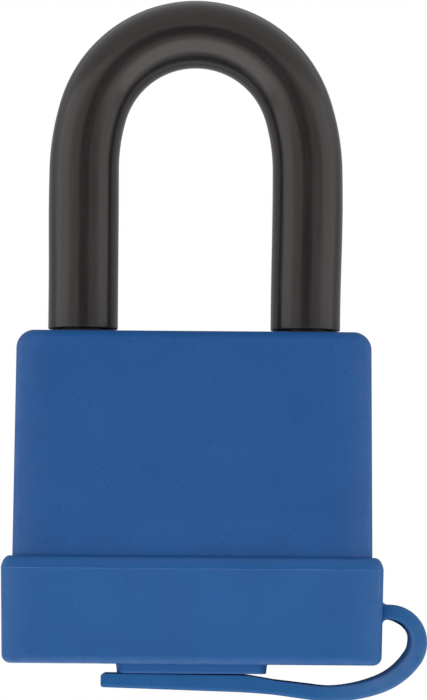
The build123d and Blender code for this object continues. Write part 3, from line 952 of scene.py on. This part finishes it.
@dataclass(frozen=True)
class BaseCap(Moulding):
    """Moulded tray round the jacket's foot, with a bevelled rim, a parting line and the keyway boss."""

    name: str = "cap_shell"
    slot: Slot = Slot.CAP
    size: Pair = (53.1, 23.0)
    draft: float = 0.25
    height: float = 14.9
    corner: float = 1.4
    least_corner: float = 0.2
    rim_inset: float = 1.2
    rim_drop: float = 1.6
    rim_hold: Pair = (0.32, 0.12)
    seam_height: float = 0.07
    seam_half: float = 0.09
    seam_mean: float = 0.55
    seam_waves: tuple[Point, ...] = ((0.25, 9.0, 0.4), (0.2, 23.0, 1.9), (0.2, 57.0, 0.0))
    seam_least: float = 0.1
    side_seam_share: float = 0.6
    side_seam_step: int = 5
    side_seam_end: float = 8.6
    # Lighter rim and corners, a painted highlight on the widest sides and painted light from below on the
    # foot.
    rim_lightening: float = 0.2
    corner_lightening: float = 0.2
    side_highlight: float = 0.35
    foot_painted_light: float = 0.8
    foot_edge: float = 1.2
    pocket_size: Pair = (50.46, 20.36)
    pocket_corner: float = 1.1
    pocket_edge: float = 0.12
    pocket_foot: float = 0.2
    floor: float = 2.0
    boss_size: Pair = (21.0, 20.2)
    boss_draft: float = 0.15
    boss_height: float = 1.3
    boss_corner: float = 2.0
    boss_edge: float = 0.16
    boss_root: float = 0.15
    boss_rim: float = 0.2
    boss_wear: float = 0.4
    opening_radius: float = 6.0
    opening_edge: float = 0.25
    count: LoopCount = LoopCount()
    rim_steps: int = 12
    seam_steps: int = 6
    wall_steps: int = 16
    foot_steps: int = 8
    boss_steps: int = 5
    pocket_steps: int = 4

    def grids(self) -> list[LighterEdges]:
        """One closed grid: the outside, the boss, the key opening, the pocket and the rim again.

        Returns:
            The grid with its shares of lighter edge: a lighter rim and corners, painted highlight on the
                parting line and sides, painted light on the foot, and scuffs on the boss's rim.
        """
        outside, edge = self._outside()
        boss = self._boss()
        inside = np.concatenate([self._opening(boss[-1]), self._pocket(), outside[:1]])
        # Lighter corners, and a painted highlight on the sides where they are widest.
        corners_lighter = self.corner_lightening * self.count.corner_share()
        sides_highlit = self.side_highlight * side_highlight_share(outside)
        lighter_outside = np.maximum(edge, np.maximum(corners_lighter, sides_highlit))
        boss_worn = self.boss_wear * (boss[..., 2] < self.boss_rim - self.boss_height)
        lighter_edge = np.concatenate([lighter_outside, boss_worn, np.zeros(inside.shape[:2])])
        return [(np.concatenate([outside, boss, inside]), lighter_edge)]

    def seat(self, piece: Piece) -> None:
        """Puts the cap on the case."""
        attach(piece, Body.LOCK_CASE.value)
        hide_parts("base_cap")

    def _outside(self) -> tuple[Array, Array]:
        """Rim, parting line, wall and rounded foot, from the rim's top edge down.

        The rim is a curve with one control point between its two ends. The parting line is a small ridge,
        a raised cosine across, whose height comes and goes along it as a sum of sines. At the right-hand
        corners it turns down to the strap's root.

        Returns:
            The grid and its shares of lighter edge: a painted highlight on the parting line, painted light
                from below on the foot, and a lighter rim.
        """
        share = np.linspace(0.0, 1.0, self.rim_steps + 1)
        first = np.array([self.rim_inset, self.height])
        hold = np.array([self.rim_hold[0], self.height - self.rim_hold[1]])
        last = np.array([0.0, self.height - self.rim_drop])
        weight = np.column_stack([(1 - share) ** 2, 2 * share * (1 - share), share ** 2])
        rim = (weight @ np.stack([first, hold, last]))[:-1]
        across = np.linspace(-1.0, 1.0, self.seam_steps + 1)
        seam = last[1] - self.seam_half * (1 + across)
        wall = seam[-1] + (self.foot_edge - seam[-1]) * eased(self.wall_steps)[1:-1]
        foot = rounded_edge((0.0, 0.0), (self.foot_edge, self.foot_edge), self.foot_steps)[::-1]
        upright = np.zeros(len(seam) + len(wall))
        level = np.concatenate([rim[:, 1], seam, wall, foot[:, 1]])
        inset = np.concatenate([rim[:, 0], upright, foot[:, 0]])
        ridge = np.zeros_like(level)
        ridge[len(rim):len(rim) + len(seam)] = self.seam_height * hump(across)
        # The rim's bevel is coloured lighter towards its middle, and the foot's rounding gets painted light
        # from below, lightest at the bottom.
        rim_lighter = self.rim_lightening * np.sin(np.pi * share[:-1])
        foot_lit = self.foot_painted_light * (1 - foot[:, 1] / self.foot_edge)
        lighter_edge = np.concatenate([rim_lighter, upright, foot_lit])
        width = self.size[0] - 2 * (inset + self.draft * (self.height - level) / self.height)
        corner = np.maximum(self.corner - inset, self.least_corner)
        loops = rounded_loops(width, self.size[1] - 2 * inset, corner, self.count)
        place = np.arctan2(loops[0, :, 1], loops[0, :, 0])
        waves = sum(part * np.sin(turns * place + start) for part, turns, start in self.seam_waves)
        rise = ridge[:, None] * np.clip(self.seam_mean + waves, self.seam_least, 1.0)
        column = self.count.side + self.side_seam_step
        down = (level < seam[len(seam) // 2]) & (level > self.side_seam_end)
        rise[:, [column, -column]] += self.side_seam_share * self.seam_height * down[:, None]
        outward = loops / np.linalg.norm(loops, axis=2, keepdims=True)
        # The parting line and its turns down the corners are painted lighter, as a highlight.
        edge = np.clip(rise / self.seam_height + lighter_edge[:, None], 0.0, 1.0)
        return lift(loops + outward * rise[..., None], level), edge

    def _boss(self) -> Array:
        """Boss round the key opening, from its root at the underside to its flat end.

        Returns:
            The grid.
        """
        root = rounded_edge((0.0, 0.0), (-self.boss_root, -self.boss_root), self.boss_steps)
        end = (0.0, -self.boss_height)
        edge = rounded_edge(end, (self.boss_edge, self.boss_edge), self.boss_steps)[::-1]
        inset, level = np.concatenate([root, edge[:1] + [0.0, self.boss_rim], edge]).T
        drawn = inset - self.boss_draft * level / self.boss_height
        corner = np.maximum(self.boss_corner - inset, self.least_corner)
        width, depth = (size - 2 * drawn for size in self.boss_size)
        return lift(rounded_loops(width, depth, corner, self.count), level)

    def _opening(self, end_loop: Array) -> Array:
        """Key opening through the boss and the cap's floor, each column at its angle round the key axis.

        Args:
            end_loop: Loop round the boss's flat end.

        Returns:
            The grid.
        """
        angle = np.arctan2(end_loop[:, 1], end_loop[:, 0])
        reach = (self.opening_edge, self.opening_edge)
        lip = rounded_edge((self.opening_radius, -self.boss_height), reach, self.boss_steps)
        wall = np.array([[self.opening_radius, self.floor]])
        return circle_rows(np.concatenate([lip, wall]), angle, np.zeros(2))

    def _pocket(self) -> Array:
        """Pocket for the jacket, from the cap's floor up to the rim.

        Returns:
            The grid.
        """
        foot = np.array([[0.0, self.floor], [0.0, self.floor + self.pocket_foot]])
        reach = (self.pocket_edge, -self.pocket_edge)
        lip = rounded_edge((0.0, self.height), reach, self.pocket_steps)[::-1]
        grow, level = np.concatenate([foot, lip]).T
        width, depth = (size + 2 * grow for size in self.pocket_size)
        return lift(rounded_loops(width, depth, np.full_like(level, self.pocket_corner), self.count), level)


@dataclass(frozen=True)
class Swelling:
    """A stretch where the sleeve stands out a little, as shares of the way along it."""

    middle: float
    half: float
    swell: float
    spread: float

    def share(self, way: Array) -> Array:
        """How much of it there is: a raised cosine, 0 at both ends."""
        return hump((way - self.middle) / self.half)


@dataclass(frozen=True)
class ShackleSleeve(Moulding):
    """Plastic sleeve over the shackle's bow and legs, drawn a little thinner over the bow."""

    name: str = "sleeve_skin"
    slot: Slot = Slot.SLEEVE
    radius: float = 4.91
    thinning: float = 0.13
    bore: float = 3.26
    end_level: float = 46.85
    end_edge: float = 0.2
    spring_line: float = 69.447
    shoulder_radius: float = 30.0
    shoulder_turn: float = 16.288
    crown_radius: float = 15.05
    swellings: tuple[Swelling, ...] = (
        Swelling(0.18, 0.12, 0.07, 0.05),
        Swelling(0.82, 0.17, 0.09, 0.21),
    )
    rows: int = 150
    columns: int = 96
    end_steps: int = 6

    def path(self) -> ArcPath:
        """Centre line: a leg, a wide shoulder arc, the crown, the other shoulder and the other leg.

        Returns:
            The line.
        """
        leg = (self.spring_line - self.end_level, 0.0)
        shoulder = (self.shoulder_radius * math.radians(self.shoulder_turn), -self.shoulder_turn)
        crown_turn = 180.0 - 2 * self.shoulder_turn
        crown = (self.crown_radius * math.radians(crown_turn), -crown_turn)
        return ArcPath((-LEG_X, self.end_level), 90.0, [leg, shoulder, crown, shoulder, leg])

    def grids(self) -> list[LighterEdges]:
        """A circle carried along the centre line and back inside it as the bore.

        Its radius is less by a squared sine of the way along, more in the swellings, and round at the ends.

        Returns:
            The grid, with no lighter edge.
        """
        path = self.path()
        end = rounded_edge((self.radius, 0.0), (-self.end_edge, self.end_edge), self.end_steps)
        span = np.linspace(self.end_edge, path.length - self.end_edge, self.rows)[1:-1]
        outer = np.concatenate([end[:, 1], span, path.length - end[::-1, 1]])
        way = outer / path.length
        radius = np.concatenate([end[:, 0], np.full_like(span, self.radius), end[::-1, 0]])
        radius -= self.thinning * np.sin(np.pi * way) ** 2
        radius += sum(stretch.swell * stretch.share(way) for stretch in self.swellings)
        spread = sum(stretch.spread * stretch.share(way) for stretch in self.swellings)
        inner = np.linspace(path.length, 0.0, self.rows // 2)
        distance = np.concatenate([outer, inner, outer[:1]])
        radius = np.concatenate([radius, np.full_like(inner, self.bore), radius[:1]])
        section = radius[:, None, None] * ring(even_angles(self.columns))
        section[:len(outer), :, 1] += spread[:, None]
        return [(path.carry(distance, section), 0.0)]

    def seat(self, piece: Piece) -> None:
        """Puts the sleeve on the shackle."""
        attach(piece, Body.SHACKLE.value)
        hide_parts("shackle_sleeve")


@dataclass(frozen=True)
class SealRing(Moulding):
    """Rubber wiper ring round one leg, with a groove between its two lips."""

    name: str
    node: str
    x: float
    slot: Slot = Slot.SEAL
    inner: float = 3.3
    outer: float = 4.5
    low: float = 45.3
    high: float = 46.8
    edge: float = 0.2
    groove: float = 0.12
    columns: int = 72
    edge_steps: int = 4
    top_steps: int = 8

    def grids(self) -> list[LighterEdges]:
        """A profile carried round the leg: two round edges, and a squared sine for the groove between.

        Returns:
            The grid, with no lighter edge.
        """
        outside = rounded_edge((self.outer, self.high), (-self.edge, -self.edge), self.edge_steps)[::-1]
        inside = rounded_edge((self.inner, self.high), (self.edge, -self.edge), self.edge_steps)
        across = np.linspace(0.0, 1.0, self.top_steps + 1)[1:-1]
        top = np.column_stack([
            self.outer - self.edge + (self.inner + 2 * self.edge - self.outer) * across,
            self.high - self.groove * np.sin(np.pi * across) ** 2,
        ])
        base = np.array([[self.inner, self.low], [self.outer, self.low]])
        profile = np.concatenate([outside, top, inside, base, outside[:1]])
        return [(circle_rows(profile, even_angles(self.columns), np.array([self.x, 0.0])), 0.0)]

    def seat(self, piece: Piece) -> None:
        """Puts the ring in the case."""
        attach(piece, Body.LOCK_CASE.value)
        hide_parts(self.node)


@dataclass(frozen=True)
class CoverStrap(Moulding):
    """Keyway cover and its tether strap, moulded in one: a flat band from the cap's side to the tab."""

    name: str = "cover_strap_band"
    slot: Slot = Slot.COVER
    root_x: float = 25.5
    root_level: float = 7.42
    wall_x: float = 26.42
    stub_end: float = 27.42
    root_fillet: float = 0.7
    radii: Point = (4.2, 10.2, 20.3)
    turns: Point = (126.6, 34.3, 26.16)
    neck_run: Pair = (8.36, 0.15)
    neck_bend: Pair = (2.0, 5.91)
    plate_run: float = 19.11
    width: float = 19.0
    strap_half: float = 1.05
    waist_half: float = 0.99
    waist_run: float = 4.0
    neck_half: float = 1.18
    tab_half: float = 0.95
    lean: Pair = (0.12, 0.03)
    crown: Point = (0.65, 0.78, 0.5)
    crown_places: Pair = (0.25, 0.7)
    crown_depth: float = 0.22
    draft: float = 0.6
    outer_edge: float = 0.5
    inner_edges: Pair = (0.5, 0.06)
    least_edge: float = 0.03
    tab_edge: float = 0.4
    edge_scuff_and_highlight: float = 0.35
    tab_wear: float = 0.2
    # Painted light on the strap's loop, which stands clear of the cap and gets light from above.
    loop_painted_light: float = 0.45
    bend_start: Point = (27.2, 0.0, 6.4)
    bend_end: Point = (25.3, 0.0, -4.5)
    count: LoopCount = LoopCount(4, 4, 14)
    rows: int = 190
    fillet_steps: int = 8
    tab_steps: int = 6

    def path(self) -> ArcPath:
        """Centre line: out of the cap's side, round three arcs, along the neck and under the boss.

        Returns:
            The line, with the runs that StrapRun names.
        """
        stub = (self.stub_end - self.root_x, 0.0)
        loop = [(radius * math.radians(turn), -turn) for radius, turn in zip(self.radii, self.turns)]
        runs = [stub, *loop, self.neck_run, self.neck_bend, (self.plate_run, 0.0)]
        return ArcPath((self.root_x, self.root_level), 0.0, runs)

    def _half_thickness(self, path: ArcPath, distance: Array) -> Array:
        """Half of the band's thickness: straight tapers between named places, and a fillet at the cap.

        Args:
            path: The centre line.
            distance: Distances along it.

        Returns:
            Half of the thickness at each distance.
        """
        neck = path.begins[StrapRun.BEND] + self.neck_bend[0] / 2
        places = [0.0, path.begins[StrapRun.NECK], neck - self.waist_run, neck, path.length]
        halves = [self.strap_half, self.strap_half, self.waist_half, self.neck_half, self.tab_half]
        off_wall = np.clip(distance - (self.wall_x - self.root_x), 0.0, self.root_fillet)
        bow = np.sqrt(self.root_fillet ** 2 - (self.root_fillet - off_wall) ** 2)
        return np.interp(distance, places, halves) + self.root_fillet - bow

    def _crown(self, path: ArcPath, distance: Array, across: Array) -> Array:
        """Swell of the loop's inside, highest a little behind its front edge and drafted to its back.

        Args:
            path: The centre line.
            distance: Distances along it.
            across: Y of each point of each row.

        Returns:
            The swell at each point.
        """
        first, *others = path.begins[StrapRun.TIGHT_ARC:StrapRun.BEND]
        starts = [first + share * (others[0] - first) for share in self.crown_places]
        height = np.interp(distance, [*starts, *others], [0.0, *self.crown, 0.0])
        back = np.clip(across / self.width + 0.5, 0.0, 1.0)
        ramp = 1 - (1 - np.minimum(back / self.crown_depth, 1.0)) ** 2
        return height[:, None] * (ramp * (1 - back) / (1 - self.crown_depth) - self.draft * back)

    def grids(self) -> list[LighterEdges]:
        """A rounded rectangle carried along the centre line, closed at the root and at the round tab.

        The front and back lean in towards the outside of the loop, and its inside is crowned.

        Returns:
            The grid with its shares of lighter edge: scuffs and painted highlight on the edges, scuffs on
                the tab, and painted light on the loop.
        """
        path = self.path()
        wall = (0.0, self.wall_x - self.root_x)
        reach = (self.root_fillet, self.root_fillet)
        fillet = rounded_edge(wall, reach, self.fillet_steps)[:, 1]
        strap = np.linspace(fillet[-1], path.length - self.tab_edge, self.rows)[1:]
        tab = rounded_edge((0.0, path.length), (self.tab_edge, -self.tab_edge), self.tab_steps)[-2::-1]
        distance = np.concatenate([[0.0, 0.0], fillet, strap, tab[:, 1], tab[-1:, 1]])
        inset = np.zeros_like(distance)
        inset[-len(tab) - 1:] = [*tab[:, 0], self.tab_edge]
        half = self._half_thickness(path, distance) - inset
        half[[0, -1]] = 0.0
        inner_edge = np.interp(distance, path.begins[[StrapRun.NECK, StrapRun.BEND]], self.inner_edges)
        edges = (self.outer_edge, inner_edge)
        roundings = (np.clip(edge - inset, self.least_edge, half) for edge in edges)
        width = self.width - 2 * inset
        outer, inner = (rounded_loops(width, 2 * half, corner, self.count) for corner in roundings)
        loops = np.where(outer[..., 1:] < 0, inner, outer)
        lean = np.interp(distance, path.begins[[StrapRun.WIDE_ARC, StrapRun.BEND]], self.lean)
        loops[..., 0] -= np.sign(loops[..., 0]) * lean[:, None] * (loops[..., 1] + half[:, None])
        loops[..., 1] -= np.where(loops[..., 1] < 0, self._crown(path, distance, loops[..., 0]), 0.0)
        # The loop is painted lighter, standing in for the light from above that it gets clear of the cap.
        loop_lights = [0.0, self.loop_painted_light, self.loop_painted_light, 0.0]
        loop_lit = np.interp(distance, path.begins[StrapRun.TIGHT_ARC:StrapRun.BEND], loop_lights)
        lighter_edge = self.edge_scuff_and_highlight * self.count.corner_share() + self.tab_wear * (inset / self.tab_edge)[:, None]
        return [(path.carry(distance, loops), np.clip(lighter_edge + loop_lit[:, None], 0.0, 1.0))]

    def seat(self, piece: Piece) -> None:
        """Bakes the band's place into its mesh, and hides both nodes that it stands for.

        Args:
            piece: The band.
        """
        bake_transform(piece)
        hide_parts("cover_strap", "keyway_cover")


@dataclass(frozen=True)
class CoverSpigot(Moulding):
    """Hollow spigot on the cover that closes the key opening, with a snap bead round it."""

    name: str = "cover_spigot"
    slot: Slot = Slot.COVER
    radius: float = 5.6
    wall: float = 1.2
    low: float = -2.2
    high: float = 0.85
    edge: float = 0.3
    bead: float = 0.22
    bead_level: float = -0.1
    bead_half: float = 0.5
    columns: int = 80
    side_steps: int = 24
    edge_steps: int = 5

    def grids(self) -> list[LighterEdges]:
        """A profile carried round the key axis: upright apart from the bead, with a rounded rim.

        Returns:
            The grid, with no lighter edge.
        """
        level = np.linspace(self.low, self.high - self.edge, self.side_steps + 1)
        bead = self.bead * hump((level - self.bead_level) / self.bead_half)
        side = np.column_stack([self.radius + bead, level])
        bore = self.radius - self.wall
        rim = rounded_edge((self.radius, self.high), (-self.edge, -self.edge), self.edge_steps)
        inner_rim = rounded_edge((bore, self.high), (self.edge, -self.edge), self.edge_steps)
        base = np.array([[bore, self.low], [self.radius, self.low]])
        profile = np.concatenate([side, rim[-2::-1], inner_rim, base])
        return [(circle_rows(profile, even_angles(self.columns), np.zeros(2)), 0.0)]

    def seat(self, piece: Piece) -> None:
        """Puts the spigot on the cover."""
        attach(piece, Body.KEYWAY_COVER.value)


@dataclass(frozen=True)
class PinSpring:
    """Spring behind a driver pin, which shortens as the pin is pushed out."""

    number: int
    keep: float = 0.73

    def fit(self, nodes: dict[str, Piece]) -> None:
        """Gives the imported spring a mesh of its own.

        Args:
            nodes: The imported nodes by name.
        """
        spring = nodes[f"pin_spring_{self.number}"]
        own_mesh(spring)


@dataclass(frozen=True)
class Softbox:
    """A square-on area lamp, aimed at the middle of the padlock."""

    name: str
    place: Point
    size: Pair
    radiance: float
    in_gloss: bool = True

    def build(self, target: Vector) -> None:
        """Makes the lamp, its power worked out from its radiance and area.

        Args:
            target: Point that it faces, in metres.
        """
        lamp = bpy.data.lights.new(self.name, "AREA")
        lamp.shape = "RECTANGLE"
        lamp.size, lamp.size_y = self.size
        lamp.energy = self.radiance * math.pi * self.size[0] * self.size[1]
        holder = bpy.data.objects.new(self.name, lamp)
        holder.location = self.place
        holder.rotation_euler = (target - Vector(self.place)).to_track_quat("-Z", "Y").to_euler()
        holder.visible_camera = False
        holder.visible_glossy = self.in_gloss
        bpy.context.scene.collection.objects.link(holder)


@dataclass(frozen=True)
class Card:
    """A grey card on the floor: Y of its lower and upper edge, half of its width and its height."""

    name: str
    grey: float
    foot: float
    head: float
    half: float
    height: float


@dataclass(frozen=True)
class Studio:
    """White stage, soft lamps and the camera, in metres."""

    floor_level: float = -0.0054
    floor_half: float = 3.0
    floor_glow: float = 1.05
    ambient: float = 0.45
    shadow_share: float = 0.25
    shadow_reach: float = 0.004
    shadow_samples: int = 16
    frame_pixels: tuple[int, int] = (427, 700)
    focal_pixels: float = 5120.0
    eye: Point = (0.0001, -0.720, 0.0067)
    foot_pixel: Pair = (194.7, 616.0)
    roll: float = 0.44
    sensor: float = 36.0
    clip: Pair = (0.01, 50.0)
    target: Point = (0.0, 0.0, 0.045)
    softboxes: tuple[Softbox, ...] = (
        Softbox("left_softbox", (-0.63, -0.41, 0.16), (1.3, 0.7), 1.0),
        Softbox("right_softbox", (0.63, -0.41, 0.16), (1.3, 0.7), 0.75),
        Softbox("back_softbox", (0.0, 0.75, 0.25), (1.6, 0.7), 0.7, in_gloss=False),
    )
    cards: tuple[Card, ...] = (
        Card("front_card", 0.09, -1.05, -1.05, 1.2, 0.56),
        Card("back_card", 0.65, 0.05, 0.55, 0.5, 0.5),
    )
    card_gap: float = 0.0002
    card_roughness: float = 0.9
    sheen_reach: Pair = (-0.25, -0.042)
    sheen_half: float = 0.16
    sheen_gap: float = 0.0001
    sheen_glow: float = 2.9

    def build(self) -> None:
        """Builds the whole stage."""
        scene = bpy.context.scene
        scene.view_settings.view_transform = "Standard"
        self._world(scene)
        self._floor()
        for card in self.cards:
            self._card(card)
        self._sheen()
        for softbox in self.softboxes:
            softbox.build(Vector(self.target))
        self._camera(scene)

    def _world(self, scene: bpy.types.Scene) -> None:
        """White where it is seen, and a plain level of light elsewhere.

        Args:
            scene: The scene.
        """
        board = Board(bpy.data.worlds.new("white_room"))
        light = board.add("ShaderNodeBackground", {"Color": WHITE, "Strength": self.ambient})
        white = board.add("ShaderNodeBackground", {"Color": WHITE, "Strength": 1.0})
        board.finish(board.merge(board.seen(), light, white))
        scene.world = board.owner

    @staticmethod
    def _plate(name: str, half: float, edges: Sequence[Pair], board: Board) -> Piece:
        """A flat piece of the stage between two level edges.

        Args:
            name: Its name.
            half: Half of its width.
            edges: Y and Z of each edge, in metres.
            board: Its material's board.

        Returns:
            The object.
        """
        first, last = edges
        mesh = bpy.data.meshes.new(name)
        points = [(-half, *first), (half, *first), (half, *last), (-half, *last)]
        mesh.from_pydata(points, [], [(0, 1, 2, 3)])
        mesh.materials.append(board.owner)
        plate = bpy.data.objects.new(name, mesh)
        bpy.context.scene.collection.objects.link(plate)
        return plate

    def _floor(self) -> None:
        """White floor with a soft contact shadow, clear enough to show the cover when it hangs open."""
        board = Board(bpy.data.materials.new("white_floor"))
        reach = {"Distance": self.shadow_reach}
        shadow = board.add("ShaderNodeAmbientOcclusion", reach, samples=self.shadow_samples)
        soft = board.mix(self.shadow_share, WHITE, shadow.outputs["Color"])
        shaded = board.add("ShaderNodeBsdfTransparent", {"Color": soft})
        table = board.add("ShaderNodeEmission", {"Strength": self.floor_glow})
        lit = board.merge(board.seen(), table, shaded)
        below = board.add("ShaderNodeNewGeometry").outputs["Backfacing"]
        board.finish(board.merge(below, lit, board.add("ShaderNodeBsdfTransparent")))
        edges = [(side * self.floor_half, self.floor_level) for side in (-1.0, 1.0)]
        self._plate("floor", self.floor_half, edges, board)

    def _card(self, card: Card) -> None:
        """Stands a card on the floor, to show only in gloss.

        Args:
            card: The card.
        """
        board = Board(bpy.data.materials.new(card.name))
        inputs = {"Base Color": shade((card.grey,) * 3), "Roughness": self.card_roughness}
        board.finish(board.add("ShaderNodeBsdfPrincipled", inputs))
        edges = [(card.head, card.height), (card.foot, self.floor_level + self.card_gap)]
        self._only_in_gloss(self._plate(card.name, card.half, edges, board))

    def _sheen(self) -> None:
        """Bright stretch of table before the padlock, which shows only in gloss."""
        board = Board(bpy.data.materials.new("bright_table"))
        board.finish(board.add("ShaderNodeEmission", {"Strength": self.sheen_glow}))
        edges = [(y, self.floor_level + self.sheen_gap) for y in self.sheen_reach]
        self._only_in_gloss(self._plate("table_sheen", self.sheen_half, edges, board))

    @staticmethod
    def _only_in_gloss(plate: Piece) -> None:
        """Hides a piece of the stage from all but reflections.

        Args:
            plate: The piece.
        """
        plate.visible_camera = False
        plate.visible_diffuse = False
        plate.visible_shadow = False
        plate.visible_transmission = False

    def _camera(self, scene: bpy.types.Scene) -> None:
        """Camera level with the cap, turned up until the frame's middle fits.

        Args:
            scene: The scene.
        """
        data = bpy.data.cameras.new("camera")
        data.sensor_width = self.sensor
        data.lens = self.focal_pixels / max(self.frame_pixels) * self.sensor
        data.clip_start, data.clip_end = self.clip
        right = (self.frame_pixels[0] / 2 - self.foot_pixel[0]) / self.focal_pixels
        up = (self.foot_pixel[1] - self.frame_pixels[1] / 2) / self.focal_pixels
        ahead = Vector((right, 1.0, up)).normalized()
        turn = ahead.to_track_quat("-Z", "Y").to_matrix().to_4x4()
        camera = bpy.data.objects.new("camera", data)
        roll = Matrix.Rotation(math.radians(self.roll), 4, "Z")
        camera.matrix_world = Matrix.Translation(self.eye) @ turn @ roll
        scene.collection.objects.link(camera)
        scene.camera = camera


def main() -> None:
    """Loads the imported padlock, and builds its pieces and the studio."""
    logging.basicConfig(level=logging.INFO, format="%(name)s %(message)s")
    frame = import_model()
    wardrobe = Wardrobe()
    wardrobe.dress_nodes(frame["nodes"])
    makers = [
        BodyJacket(),
        BaseCap(),
        ShackleSleeve(),
        SealRing("heel_seal_ring", "heel_seal", -LEG_X),
        SealRing("toe_seal_ring", "toe_seal", LEG_X),
        CoverStrap(),
        CoverSpigot(),
    ]
    for maker in makers:
        piece = maker.build(wardrobe)
        LOG.info("%s is in place", piece.name)
    for number in range(1, PIN_COUNT + 1):
        PinSpring(number).fit(frame["nodes"])
    Studio().build()


if __name__ == "__main__":
    main()
